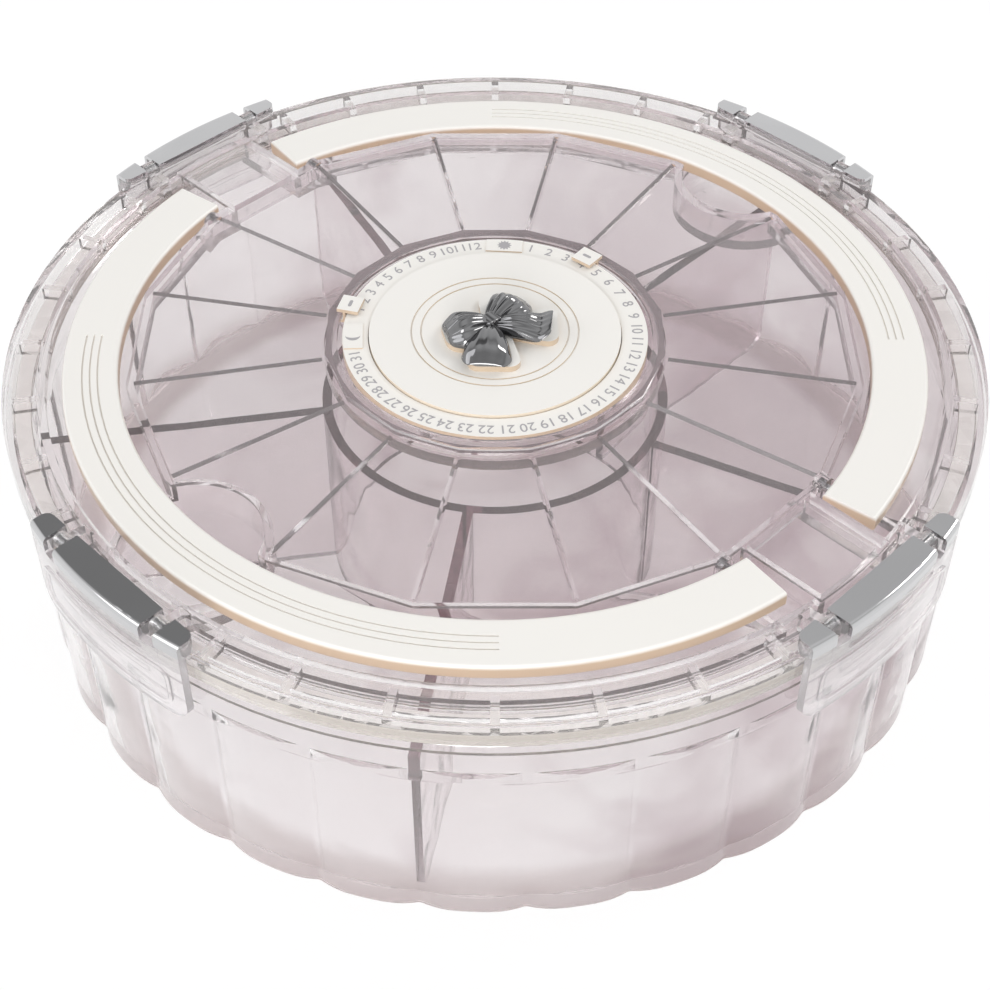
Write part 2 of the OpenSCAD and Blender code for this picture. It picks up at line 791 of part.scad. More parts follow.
// Pointer: a plate over the bezel, with a foot in the slot that hooks under the bezel
module pointer_shape() {
    foot_in = dial_r + pointer_gap;
    hook_top = deck_z - pointer_gap;
    hook_t = bezel_t / 2;
    intersection() {
        union() {
            ring(foot_in, foot_in + foot_t, hook_top - hook_t, pointer_z + join);
            ring(foot_in, foot_in + foot_t + pointer_hook, hook_top - hook_t, hook_top);
        }
        translate([0, -pointer_w / 2, 0]) cube([rim_r, pointer_w, pointer_z + pointer_t]);
    }
    translate([pointer_out - pointer_len, -pointer_w / 2, pointer_z])
        cube([pointer_len, pointer_w, pointer_t]);
}

module month_pointer() { color([0.96, 0.95, 0.92]) at(month_at) pointer_shape(); }
module day_pointer() { color([0.96, 0.95, 0.92]) at(day_at) pointer_shape(); }

// Places one arm of the bow at each side of its axis
module bow_arms(angle, spread) { for (side = [-1, 1]) rotate(angle + side * spread) children(); }

// Centres of the two rounded corners at an arm's end
function arm_corners(length, width, round) =
    [for (side = [-1, 1]) [length - round, side * (width / 2 - round), 0]];

module arm_outline(length, width, round) {
    hull() {
        circle(neck_r + backing_edge, $fn = 32);
        for (c = arm_corners(length, width, round)) translate(c) circle(round + backing_edge, $fn = 32);
    }
}

module arm_solid(length, width, round) {
    hull() {
        sphere(neck_r, $fn = 20);
        for (c = arm_corners(length, width, round)) translate(c) sphere(round, $fn = 24);
    }
}

module bow_backing() {
    color([0.96, 0.95, 0.92]) translate([0, 0, cap_top]) rotate(bow_angle) linear_extrude(backing_t) {
        circle(knot_r + backing_edge, $fn = 32);
        bow_arms(90, loop_spread) arm_outline(loop_len, loop_w, loop_round);
        bow_arms(-90, tail_spread) arm_outline(tail_len, tail_w, tail_round);
    }
}

module bow() {
    color([0.55, 0.56, 0.58]) translate([0, 0, bow_z]) rotate(bow_angle) intersection() {
        union() {
            hull() sphere(knot_r, $fn = 24);
            bow_arms(90, loop_spread) arm_solid(loop_len, loop_w, loop_round);
            bow_arms(-90, tail_spread) arm_solid(tail_len, tail_w, tail_round);
        }
        translate([-rim_r, -rim_r, 0]) cube([2 * rim_r, 2 * rim_r, rim_r]);
    }
}

base_bowl();
divider_insert();
lid_shell();
gasket();
handle_left();
handle_right();
for (i = [1 : PINS]) handle_pin(i);
for (i = [1 : LATCHES]) latch_flap(i);
for (i = [1 : LATCHES]) latch_bar_trim(i);
for (i = [1 : LATCHES]) latch_end_trims(i);
for (i = [1 : LATCHES]) latch_pin(i);
dial_plate();
dial_cap();
dial_bezel();
month_pointer();
day_pointer();
bow_backing();
bow();
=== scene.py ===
import math

import bmesh
import bpy
from mathutils import Matrix, Vector


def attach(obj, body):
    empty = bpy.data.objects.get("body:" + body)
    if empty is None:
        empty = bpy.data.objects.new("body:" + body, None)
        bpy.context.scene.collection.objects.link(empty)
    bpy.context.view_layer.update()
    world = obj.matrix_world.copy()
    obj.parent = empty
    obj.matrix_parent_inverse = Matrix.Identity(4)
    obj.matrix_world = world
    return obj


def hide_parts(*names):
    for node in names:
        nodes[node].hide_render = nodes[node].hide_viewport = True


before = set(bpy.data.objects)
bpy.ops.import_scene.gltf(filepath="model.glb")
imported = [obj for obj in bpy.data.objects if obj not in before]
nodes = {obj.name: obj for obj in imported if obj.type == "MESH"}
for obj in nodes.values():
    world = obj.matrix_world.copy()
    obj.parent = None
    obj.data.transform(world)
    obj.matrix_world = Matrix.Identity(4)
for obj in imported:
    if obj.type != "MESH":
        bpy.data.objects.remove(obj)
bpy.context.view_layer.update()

scene = bpy.context.scene

MM = 0.001
# Heights that the dressing shares with the solids, in millimetres
DECK = 45.5
DIAL_TOP = DECK + 0.9
TAB_TOP = DIAL_TOP + 0.2
POINTER_TOP = DECK + 1.8
BOW_FOOT = DECK + 2.4


def plan(theta, r, z):
    """Point at a plan angle: 0 is the front, and it grows towards the right."""
    a = math.radians(theta)
    return Vector((r * math.sin(a), -r * math.cos(a), z)) * MM


def deselect():
    if bpy.context.object and bpy.context.object.mode != "OBJECT":
        bpy.ops.object.mode_set(mode="OBJECT")
    bpy.ops.object.select_all(action="DESELECT")


def pick(obj):
    deselect()
    obj.select_set(True)
    bpy.context.view_layer.objects.active = obj


# ---------------------------------------------------------------- shader helpers


def opaque(color):
    return (*color, 1.0)


def set_sockets(node, values):
    """Sets plain numbers and colours on a node's inputs, by their names."""
    for socket, value in values.items():
        node.inputs[socket].default_value = value


def object_coords(tree):
    return tree.nodes.new("ShaderNodeTexCoord").outputs["Object"]


def split_axes(tree, vector):
    split = tree.nodes.new("ShaderNodeSeparateXYZ")
    tree.links.new(vector, split.inputs[0])
    return split.outputs


def add_join(tree, operation, first, second):
    """One number from two, by a sum, a product or the larger of them."""
    join = tree.nodes.new("ShaderNodeMath")
    join.operation = operation
    for socket, value in zip(join.inputs, (first, second)):
        tree.links.new(value, socket)
    return join.outputs[0]


def add_dot(tree, vector, direction):
    dot = tree.nodes.new("ShaderNodeVectorMath")
    dot.operation = "DOT_PRODUCT"
    dot.inputs[1].default_value = direction
    tree.links.new(vector, dot.inputs[0])
    return dot.outputs["Value"]


def add_span(tree, value, low, high, soft=False):
    """A node that goes from 0 at one value to 1 at another."""
    span = tree.nodes.new("ShaderNodeMapRange")
    if soft:
        span.interpolation_type = "SMOOTHSTEP"
    set_sockets(span, {"From Min": low, "From Max": high})
    tree.links.new(value, span.inputs["Value"])
    return span


def add_mask(tree, value, low, high, soft=False):
    return add_span(tree, value, low, high, soft).outputs["Result"]


def add_blend(tree, mask, first, second, kind="MIX"):
    """Blends two colours by a mask. Each of them is a plain colour or a socket."""
    blend = tree.nodes.new("ShaderNodeMix")
    blend.data_type = "RGBA"
    blend.blend_type = kind
    tree.links.new(mask, blend.inputs["Factor"])
    for socket, color in (("A", first), ("B", second)):
        if isinstance(color, tuple):
            blend.inputs[socket].default_value = opaque(color)
        else:
            tree.links.new(color, blend.inputs[socket])
    return blend.outputs["Result"]


# ---------------------------------------------------------------- effects that materials share

VECTOR, FLOAT, COLOR = "NodeSocketVector", "NodeSocketFloat", "NodeSocketColor"
# Where the clouds of painted shade in the clear plastic start, which sets where the darker ones lie
CLOUD_SHIFT = (0.80, 0.17, 0.87)
# How much thicker the clouds grow per metre along each axis
CLOUD_LEAN = (2.8, 1.2, 0.0)
# The share of the noise at which a cloud starts, and at which it is full
CLOUD_EDGES = (0.42, 0.74)
# The same for the smears
SMEAR_EDGES = (0.35, 0.75)


def new_group(name, inputs, output):
    """A node group with some inputs and one output, each a name and a kind of socket."""
    group = bpy.data.node_groups.new(name, "ShaderNodeTree")
    for label, kind in inputs:
        group.interface.new_socket(label, in_out="INPUT", socket_type=kind)
    label, kind = output
    group.interface.new_socket(label, in_out="OUTPUT", socket_type=kind)
    given = group.nodes.new("NodeGroupInput").outputs
    result = group.nodes.new("NodeGroupOutput").inputs[label]
    return group, given, result


def add_noise(tree, coords, values):
    noise = tree.nodes.new("ShaderNodeTexNoise")
    set_sockets(noise, values)
    tree.links.new(coords, noise.inputs["Vector"])
    return noise


def make_ripple_group():
    """Slow waves of a moulded wall, as a height."""
    inputs = (("Coordinates", VECTOR), ("Wave Scale", FLOAT))
    group, given, height = new_group("moulded_ripple", inputs, ("Height", FLOAT))
    noise = add_noise(group, given["Coordinates"], {"Detail": 1.0, "Roughness": 0.4})
    group.links.new(given["Wave Scale"], noise.inputs["Scale"])
    group.links.new(noise.outputs["Fac"], height)
    return group


def make_smears_group():
    """Faint smears from handling, as a roughness."""
    inputs = (("Coordinates", VECTOR), ("Clean", FLOAT), ("Smeared", FLOAT))
    group, given, roughness = new_group("handling_smears", inputs, ("Roughness", FLOAT))
    noise = add_noise(group, given["Coordinates"], {"Scale": 55.0, "Detail": 4.0})
    span = add_span(group, noise.outputs["Fac"], *SMEAR_EDGES)
    group.links.new(given["Clean"], span.inputs["To Min"])
    group.links.new(given["Smeared"], span.inputs["To Max"])
    group.links.new(span.outputs["Result"], roughness)
    return group


def make_clouds_group():
    """Soft clouds of painted shade on a moulded wall, as a blend of two colours."""
    inputs = (("Coordinates", VECTOR), ("Pale", COLOR), ("Shaded", COLOR))
    group, given, color = new_group("painted_shade_clouds", inputs, ("Color", COLOR))
    shift = group.nodes.new("ShaderNodeVectorMath")
    shift.inputs[1].default_value = CLOUD_SHIFT
    group.links.new(given["Coordinates"], shift.inputs[0])
    waves = {"Scale": 38.0, "Detail": 3.0, "Distortion": 0.8}
    noise = add_noise(group, shift.outputs["Vector"], waves)
    lean = add_dot(group, given["Coordinates"], CLOUD_LEAN)
    thickness = add_join(group, "ADD", noise.outputs["Fac"], lean)
    mask = add_mask(group, thickness, *CLOUD_EDGES, soft=True)
    group.links.new(add_blend(group, mask, given["Pale"], given["Shaded"]), color)
    return group


RIPPLE = make_ripple_group()
SMEARS = make_smears_group()
CLOUDS = make_clouds_group()


def place_group(tree, group, coords, values):
    node = tree.nodes.new("ShaderNodeGroup")
    node.node_tree = group
    set_sockets(node, values)
    tree.links.new(coords, node.inputs["Coordinates"])
    return node.outputs[0]


def add_ripple(tree, shader, coords, scale, strength, distance):
    bump = tree.nodes.new("ShaderNodeBump")
    set_sockets(bump, {"Strength": strength, "Distance": distance})
    tree.links.new(place_group(tree, RIPPLE, coords, {"Wave Scale": scale}), bump.inputs["Height"])
    tree.links.new(bump.outputs["Normal"], shader.inputs["Normal"])


def add_smears(tree, shader, coords, clean, smeared):
    roughness = place_group(tree, SMEARS, coords, {"Clean": clean, "Smeared": smeared})
    tree.links.new(roughness, shader.inputs["Roughness"])


# ---------------------------------------------------------------- materials

PLASTIC_IOR = 1.49
# The tint that gathers along the edges of the clear plastic
MAUVE = (0.80, 0.71, 0.735)
# What a clear wall leaves of the light that falls through it
PASSED_LIGHT = (0.955, 0.94, 0.945)
# Radii and heights of the places with painted shade and of the frost, in millimetres, from none to full
DECK_SHADE_R = (62.0, 58.0)
FOOT_SHADE_R = (65.0, 69.0)
FOOT_SHADE_Z = (7.0, 0.5)
FOOT_FROST_Z = (0.5, 0.05)
# Depth under the handle's top at which its side has its full painted shade, and at which it is still
# white
HANDLE_SHADE_DEPTH = (0.75, 0.12)
# How far a face looks up, which sets where the painted shade of a side gives way to white: from a side
# to a top, and from a side to an underside
TOP_FACING = (0.15, 0.85)
UNDER_FACING = (-0.4, -0.8)


def new_material(name):
    mat = bpy.data.materials.new(name)
    mat.use_nodes = True
    tree = mat.node_tree
    tree.nodes.clear()
    out = tree.nodes.new("ShaderNodeOutputMaterial")
    shader = tree.nodes.new("ShaderNodeBsdfPrincipled")
    tree.links.new(shader.outputs[0], out.inputs["Surface"])
    return mat, tree, shader


def find_input(tree, kind, socket):
    """An input of the one node of a kind, such as a material's output."""
    return next(node for node in tree.nodes if node.type == kind).inputs[socket]


def mix_shaders(tree, mask, first, second):
    """Puts out the first shader where a mask is 0, and the second where it is 1."""
    mix = tree.nodes.new("ShaderNodeMixShader")
    for socket, value in zip(mix.inputs, (mask, first.outputs[0], second.outputs[0])):
        tree.links.new(value, socket)
    return mix.outputs[0]


def let_light_pass(tree, shader):
    """Light and shadow fall through the plastic as if it were thin glass."""
    passing = tree.nodes.new("ShaderNodeBsdfTransparent")
    passing.inputs["Color"].default_value = opaque(PASSED_LIGHT)
    path = tree.nodes.new("ShaderNodeLightPath").outputs
    mask = add_join(tree, "MAXIMUM", path["Is Shadow Ray"], path["Is Diffuse Ray"])
    surface = find_input(tree, "OUTPUT_MATERIAL", "Surface")
    tree.links.new(mix_shaders(tree, mask, shader, passing), surface)


def add_edge_tint(tree, density):
    tint = tree.nodes.new("ShaderNodeVolumeAbsorption")
    set_sockets(tint, {"Color": opaque(MAUVE), "Density": density})
    tree.links.new(tint.outputs[0], find_input(tree, "OUTPUT_MATERIAL", "Volume"))


def make_clear(name, ripple, clear, pale, shaded, tint_density):
    """Clear moulded plastic with soft mauve clouds of painted shade and a tint that gathers along its
    edges.
    """
    mat, tree, shader = new_material(name)
    set_sockets(shader, {"Transmission Weight": clear, "IOR": PLASTIC_IOR})
    coords = object_coords(tree)
    clouds = place_group(tree, CLOUDS, coords, {"Pale": opaque(pale), "Shaded": opaque(shaded)})
    tree.links.new(clouds, shader.inputs["Base Color"])
    add_ripple(tree, shader, coords, scale=90.0, strength=ripple, distance=0.001)
    add_smears(tree, shader, coords, clean=0.0, smeared=0.02)
    let_light_pass(tree, shader)
    add_edge_tint(tree, tint_density)
    return mat


def soft_step(tree, value, edges):
    """A soft mask between two lengths in millimetres."""
    return add_mask(tree, value, edges[0] * MM, edges[1] * MM, soft=True)


def step_by_radius(tree, edges):
    axes = split_axes(tree, object_coords(tree))
    flat = tree.nodes.new("ShaderNodeCombineXYZ")
    for axis in ("X", "Y"):
        tree.links.new(axes[axis], flat.inputs[axis])
    radius = tree.nodes.new("ShaderNodeVectorMath")
    radius.operation = "LENGTH"
    tree.links.new(flat.outputs[0], radius.inputs[0])
    return soft_step(tree, radius.outputs["Value"], edges)


def step_by_height(tree, edges):
    return soft_step(tree, split_axes(tree, object_coords(tree))["Z"], edges)


def tint_where(tree, mask, tint):
    """Paints shade: multiplies the plastic's colour by a darker colour where a mask is 1."""
    color = find_input(tree, "BSDF_PRINCIPLED", "Base Color")
    tree.links.new(add_blend(tree, mask, color.links[0].from_socket, tint, "MULTIPLY"), color)


def shade_deck(mat, tint):
    """Paints shade on the lid inside its rim, which stands in for the shade inside the box seen through
    it.
    """
    tree = mat.node_tree
    tint_where(tree, step_by_radius(tree, DECK_SHADE_R), tint)


def shade_foot(mat, tint):
    """Frosts the face that the bowl stands on, and paints shade on the plastic round its foot, darker
    towards the bottom.
    """
    tree = mat.node_tree
    rough = find_input(tree, "BSDF_PRINCIPLED", "Roughness")
    frost = step_by_height(tree, FOOT_FROST_Z)
    tree.links.new(add_join(tree, "MAXIMUM", rough.links[0].from_socket, frost), rough)
    low = step_by_height(tree, FOOT_SHADE_Z)
    outer = step_by_radius(tree, FOOT_SHADE_R)
    tint_where(tree, add_join(tree, "MULTIPLY", low, outer), tint)


def make_milky(name, color, clear, tint_density):
    """Slightly clouded moulded plastic."""
    mat, tree, shader = new_material(name)
    set_sockets(shader, {"Transmission Weight": clear, "IOR": PLASTIC_IOR})
    shader.inputs["Base Color"].default_value = opaque(color)
    coords = object_coords(tree)
    add_smears(tree, shader, coords, clean=0.01, smeared=0.05)
    add_ripple(tree, shader, coords, scale=120.0, strength=0.08, distance=0.0006)
    add_edge_tint(tree, tint_density)
    return mat


def finish_white(tree, shader, coords, mask, side, top, roughness):
    """Blends a white and its painted shade colour by a mask, under a thin glossy skin."""
    tree.links.new(add_blend(tree, mask, side, top), shader.inputs["Base Color"])
    set_sockets(shader, {"Coat Weight": 0.2, "Coat Roughness": 0.1})
    add_smears(tree, shader, coords, clean=roughness, smeared=roughness + 0.12)
    add_ripple(tree, shader, coords, scale=400.0, strength=0.05, distance=0.0002)


def make_white(name, top, side, roughness):
    """Glossy moulded plastic, with painted shade that makes the faces that look sideways warmer."""
    mat, tree, shader = new_material(name)
    texture = tree.nodes.new("ShaderNodeTexCoord").outputs
    mask = add_mask(tree, split_axes(tree, texture["Normal"])["Z"], *TOP_FACING)
    finish_white(tree, shader, texture["Object"], mask, side, top, roughness)
    return mat


def make_handle_white(name, top, side, roughness):
    """Glossy moulded plastic, with painted shade that makes the handle's sides warmer from just under
    its top.
    """
    mat, tree, shader = new_material(name)
    texture = tree.nodes.new("ShaderNodeTexCoord").outputs
    deep, shallow = HANDLE_SHADE_DEPTH
    height = split_axes(tree, texture["Object"])["Z"]
    upper = add_mask(tree, height, (DECK - deep) * MM, (DECK - shallow) * MM)
    under = add_mask(tree, split_axes(tree, texture["Normal"])["Z"], *UNDER_FACING)
    mask = add_join(tree, "MAXIMUM", upper, under)
    finish_white(tree, shader, texture["Object"], mask, side, top, roughness)
    return mat


def make_metal(name, color, roughness, smeared, ripple):
    mat, tree, shader = new_material(name)
    set_sockets(shader, {"Base Color": opaque(color), "Metallic": 1.0})
    coords = object_coords(tree)
    add_smears(tree, shader, coords, roughness, smeared)
    add_ripple(tree, shader, coords, scale=160.0, strength=ripple, distance=0.0004)
    return mat


def make_ink(name, color, roughness):
    mat, tree, shader = new_material(name)
    shader.inputs["Base Color"].default_value = opaque(color)
    add_smears(tree, shader, object_coords(tree), clean=roughness, smeared=roughness + 0.1)
    return mat


CREAM = (0.92, 0.905, 0.875)
# The smoky colours of the clear plastics are painted shade, laid on as clouds.
CLEAR_LID = make_clear("clear_lid_plastic", ripple=0.12, clear=0.94, pale=(0.995, 0.99, 0.99),
                       shaded=(0.955, 0.945, 0.95), tint_density=8.0)
shade_deck(CLEAR_LID, tint=(0.90, 0.872, 0.883))
CLEAR_BOWL = make_clear("clear_bowl_plastic", ripple=0.25, clear=0.96, pale=(0.99, 0.985, 0.987),
                        shaded=(0.80, 0.745, 0.763), tint_density=15.0)
shade_foot(CLEAR_BOWL, tint=(0.76, 0.71, 0.705))
CLEAR_DIVIDER = make_clear("clear_divider_plastic", ripple=0.2, clear=0.97,
                           pale=(0.975, 0.965, 0.97), shaded=(0.85, 0.80, 0.82), tint_density=180.0)
MILKY = make_milky("milky_latch_plastic", (0.97, 0.96, 0.968), clear=0.78, tint_density=60.0)
# The side colours of the white plastics are painted shade: warm, darker tones on the faces where shade
# falls.
HANDLE_WHITE = make_handle_white("white_handle_plastic", CREAM, side=(0.60, 0.46, 0.33), roughness=0.28)
CAP_WHITE = make_white("white_cap_plastic", CREAM, side=(0.80, 0.70, 0.57), roughness=0.32)
DIAL_WHITE = make_white("white_dial_plastic", CREAM, side=(0.64, 0.51, 0.38), roughness=0.32)
SILICONE = make_white("white_silicone", (0.95, 0.94, 0.92), side=(0.42, 0.39, 0.34), roughness=0.5)
CHROME = make_metal("chrome_trim", (0.60, 0.60, 0.61), roughness=0.06, smeared=0.14, ripple=0.04)
BOW_CHROME = make_metal("bow_chrome", (0.22, 0.22, 0.225), roughness=0.07, smeared=0.13, ripple=1.5)
STEEL = make_metal("pin_steel", (0.5, 0.5, 0.51), roughness=0.2, smeared=0.3, ripple=0.02)
INK = make_ink("grey_dial_ink", (0.42, 0.41, 0.43), roughness=0.6)

# ---------------------------------------------------------------- finishes of the moulded pieces

WELD_GAP = 2e-6
SHARP_ANGLE = math.radians(28)


def dress(name, material):
    """A moulded piece keeps its own shape, with smooth faces and a new material."""
    obj = nodes[name]
    obj.data.materials.clear()
    obj.data.materials.append(material)
    pick(obj)
    bpy.ops.object.shade_smooth()
    weld = obj.modifiers.new("weld", "WELD")
    weld.merge_threshold = WELD_GAP
    split = obj.modifiers.new("edges", "EDGE_SPLIT")
    split.split_angle = SHARP_ANGLE
    flats = obj.modifiers.new("flats", "WEIGHTED_NORMAL")
    flats.keep_sharp = True


dress("base_bowl", CLEAR_BOWL)
dress("divider_insert", CLEAR_DIVIDER)
dress("lid_shell", CLEAR_LID)
dress("dial_bezel", CLEAR_LID)
dress("gasket", SILICONE)
dress("dial_cap", CAP_WHITE)
for name in ("handle_left", "handle_right"):
    dress(name, HANDLE_WHITE)
for name in ("dial_plate", "month_pointer", "day_pointer", "bow_backing"):
    dress(name, DIAL_WHITE)
for k in range(1, 5):
    dress(f"latch_flap_{k}", MILKY)
    dress(f"latch_bar_trim_{k}", CHROME)
    dress(f"latch_end_trims_{k}", CHROME)
    dress(f"latch_pin_{k}", STEEL)
    dress(f"handle_pin_{k}", STEEL)

# ---------------------------------------------------------------- numbers on the dial

# Thickness of a print, size of the numbers and their radius, in millimetres
PRINT = 0.02
NUMBER_SIZE = 2.5
NUMBER_R = 21.85
# Plan angle of the first number and the step to the next one
MONTH_AT, MONTH_STEP = -105.0, 6.0
DAY_AT, DAY_STEP = 164.6, 8.0


def number_mesh(number, theta):
    """One number as a thin printed mesh, its top pointing outwards."""
    deselect()
    bpy.ops.object.text_add(location=(0, 0, 0))
    obj = bpy.context.object
    obj.data.body = str(number)
    obj.data.size = NUMBER_SIZE * MM
    obj.data.align_x = "CENTER"
    obj.data.align_y = "CENTER"
    obj.data.extrude = PRINT * MM
    obj.data.resolution_u = 3
    bpy.ops.object.convert(target="MESH")
    obj.data.transform(Matrix.Rotation(math.radians(theta - 180), 4, "Z"))
    obj.data.transform(Matrix.Translation(plan(theta, NUMBER_R, DIAL_TOP + PRINT)))
    return obj


def join_pieces(parts, name, material, body):
    """Makes one named piece of some meshes, on the body that it moves with."""
    deselect()
    for part in parts:
        part.select_set(True)
    bpy.context.view_layer.objects.active = parts[0]
    if len(parts) > 1:
        bpy.ops.object.join()
    obj = bpy.context.object
    obj.name = name
    obj.data.name = name
    obj.data.materials.clear()
    obj.data.materials.append(material)
    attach(obj, body)
    return obj


months = [number_mesh(k, MONTH_AT - MONTH_STEP * (k - 1)) for k in range(1, 13)]
days = [number_mesh(k, DAY_AT - DAY_STEP * (k - 1)) for k in range(1, 32)]
join_pieces(months, "month_numbers", INK, "lid")
join_pieces(days, "day_numbers", INK, "lid")

# ---------------------------------------------------------------- marks on the tabs and pointers

# Plan angle, radius and top of each place that has a mark
POINTER_R = 23.3
MONTH_TAB = (-87.5, NUMBER_R, TAB_TOP)
DAY_TAB = (176.0, NUMBER_R, TAB_TOP)
MONTH_POINTER = (MONTH_AT, POINTER_R, POINTER_TOP)
DAY_POINTER = (140.7, POINTER_R, POINTER_TOP)
# Sizes of the marks, in millimetres
MOON_R = 1.15
SUN_R = 1.2
DASH_R = 0.28
DASH_PULL = 0.5
# How far the moon's one side is folded in, and how far the sun's inner corners are drawn in
MOON_FOLD = -0.45
SUN_DRAW = 0.68
# A point farther from the middle line than this lies beside it, in metres
BESIDE = 1e-5


def choose(mesh, wanted):
    """Selects the vertices that a test accepts, in edit mode."""
    for vert in mesh.verts:
        vert.select = wanted(vert)
    mesh.select_flush_mode()


def start_circle(points, radius):
    deselect()
    bpy.ops.mesh.primitive_circle_add(vertices=points, radius=radius * MM, fill_type="NGON")
    obj = bpy.context.object
    bpy.ops.object.mode_set(mode="EDIT")
    return obj, bmesh.from_edit_mesh(obj.data)


def place_print(obj, theta, r, z):
    """Gives a flat mark the thickness of a print and puts it on the dial, its top outwards."""
    bpy.ops.mesh.select_all(action="SELECT")
    bpy.ops.mesh.extrude_region_move(TRANSFORM_OT_translate={"value": (0, 0, PRINT * MM)})
    bpy.ops.mesh.select_all(action="SELECT")
    bpy.ops.mesh.normals_make_consistent(inside=False)
    bpy.ops.object.mode_set(mode="OBJECT")
    obj.rotation_euler = (0, 0, math.radians(theta - 180))
    obj.location = plan(theta, r, z)
    bpy.ops.object.transform_apply(location=True, rotation=True, scale=True)
    return obj


def moon_mark(place):
    """A moon: a disc whose one side is folded in."""
    obj, mesh = start_circle(points=32, radius=MOON_R)
    choose(mesh, lambda vert: vert.co.x > BESIDE)
    bpy.ops.transform.resize(value=(MOON_FOLD, 1, 1), center_override=(0, 0, 0))
    return place_print(obj, *place)


def sun_mark(place):
    """A sun: a disc whose every other corner is drawn in."""
    obj, mesh = start_circle(points=24, radius=SUN_R)
    choose(mesh, lambda vert: vert.index % 2 == 1)
    bpy.ops.transform.resize(value=(SUN_DRAW, SUN_DRAW, 1), center_override=(0, 0, 0))
    return place_print(obj, *place)


def dash_mark(place):
    """A short bar with rounded ends, from a disc that is drawn apart."""
    obj, mesh = start_circle(points=16, radius=DASH_R)
    choose(mesh, lambda vert: vert.co.x > BESIDE)
    bpy.ops.transform.translate(value=(DASH_PULL * MM, 0, 0))
    choose(mesh, lambda vert: vert.co.x < BESIDE)
    bpy.ops.transform.translate(value=(-DASH_PULL * MM, 0, 0))
    return place_print(obj, *place)


join_pieces([moon_mark(MONTH_TAB)], "month_tab_mark", INK, "lid")
join_pieces([sun_mark(DAY_TAB)], "day_tab_mark", INK, "lid")
join_pieces([dash_mark(MONTH_POINTER)], "month_pointer_mark", INK, "month_pointer")
join_pieces([dash_mark(DAY_POINTER)], "day_pointer_mark", INK, "day_pointer")

# ---------------------------------------------------------------- ribbon bow

KNOT = Vector((-0.6, -0.7, BOW_FOOT)) * MM
KNOT_SIZE = Vector((3.0, 2.6, 2.4)) * MM
# Distance of the knot's two grooves from its middle and of its ends, and how far both are drawn in
KNOT_GROOVE, KNOT_GROOVE_DRAW = 0.5, 0.86
KNOT_END, KNOT_END_DRAW = 1.4, 0.7
GROOVE_WIDTH = 0.2
RIBBON_WALL = 0.3
# How round a lobe is across, and how late its pleats fade out
SWELL_POWER = 0.6
FADE_POWER = 3
# The lowest that a fold lies, as a share of the edge's height, and how finely folds are rounded
LOW_FOLD = 0.5
FOLD_LEVELS = 2
# Rows of a lobe: distance from the knot, half width, height in the middle and height at the edges
LOOP = ((0.3, 1.3, 1.6, 0.7), (1.4, 2.1, 2.5, 0.6), (2.7, 3.0, 3.1, 0.5), (4.1, 3.6, 3.3, 0.45),
        (5.4, 3.75, 3.0, 0.4), (6.3, 3.35, 2.3, 0.35), (6.9, 2.5, 1.5, 0.3), (7.2, 1.2, 0.7, 0.3))
FRONT_TAIL = ((0.3, 1.1, 1.4, 0.6), (1.8, 1.9, 2.0, 0.5), (3.6, 2.8, 2.6, 0.45), (5.4, 3.5, 2.9, 0.4),
              (7.1, 3.9, 2.6, 0.35), (8.5, 3.8, 1.7, 0.3), (9.4, 2.9, 0.6, 0.25))
SIDE_TAIL = ((0.3, 1.0, 1.4, 0.6), (1.9, 1.8, 2.0, 0.5), (3.8, 2.5, 2.5, 0.45), (5.6, 3.0, 2.3, 0.4),
             (7.2, 3.3, 1.4, 0.5), (8.4, 3.3, 1.8, 1.1), (9.4, 2.8, 2.6, 1.9))


def soften(obj):
    soft = obj.modifiers.new("soft_folds", "SUBSURF")
    soft.levels = soft.render_levels = FOLD_LEVELS
    bpy.ops.object.modifier_apply(modifier="soft_folds")
    bpy.ops.object.shade_smooth()


def ribbon_lobe(rows, pleats, pleat_height):
    """One puffed lobe of the bow along +X, pleated lengthwise."""
    deselect()
    bpy.ops.mesh.primitive_grid_add(
        x_subdivisions=len(rows) - 1, y_subdivisions=2 * pleats, size=2)
    obj = bpy.context.object
    bpy.ops.object.mode_set(mode="EDIT")
    mesh = bmesh.from_edit_mesh(obj.data)
    places = {vert.index: (round(vert.co.x, 3), round(vert.co.y, 3)) for vert in mesh.verts}
    columns = sorted({x for x, y in places.values()})
    ranks = sorted({y for x, y in places.values()})
    for column, (out, half, crown, brim) in zip(columns, rows):
        fade = 1.0 - (out / rows[-1][0]) ** FADE_POWER
        for rank_index, rank in enumerate(ranks):
            choose(mesh, lambda vert: places[vert.index] == (column, rank))
            swell = (crown - brim) * (1.0 - rank * rank) ** SWELL_POWER + brim
            fold = pleat_height * fade * (1 if rank_index % 2 else -1)
            rise = max(swell + fold, brim * LOW_FOLD)
            move = (out * MM - column, rank * (half * MM - 1.0), rise * MM)
            bpy.ops.transform.translate(value=move)
    bpy.ops.mesh.select_all(action="SELECT")
    bpy.ops.mesh.normals_make_consistent(inside=False)
    bpy.ops.object.mode_set(mode="OBJECT")
    wall = obj.modifiers.new("ribbon_thickness", "SOLIDIFY")
    wall.thickness = RIBBON_WALL * MM
    wall.offset = 0.0
    bpy.ops.object.modifier_apply(modifier="ribbon_thickness")
    soften(obj)
    return obj


def draw_in(share):
    bpy.ops.transform.resize(value=(1, share, share), center_override=(0, 0, 0))


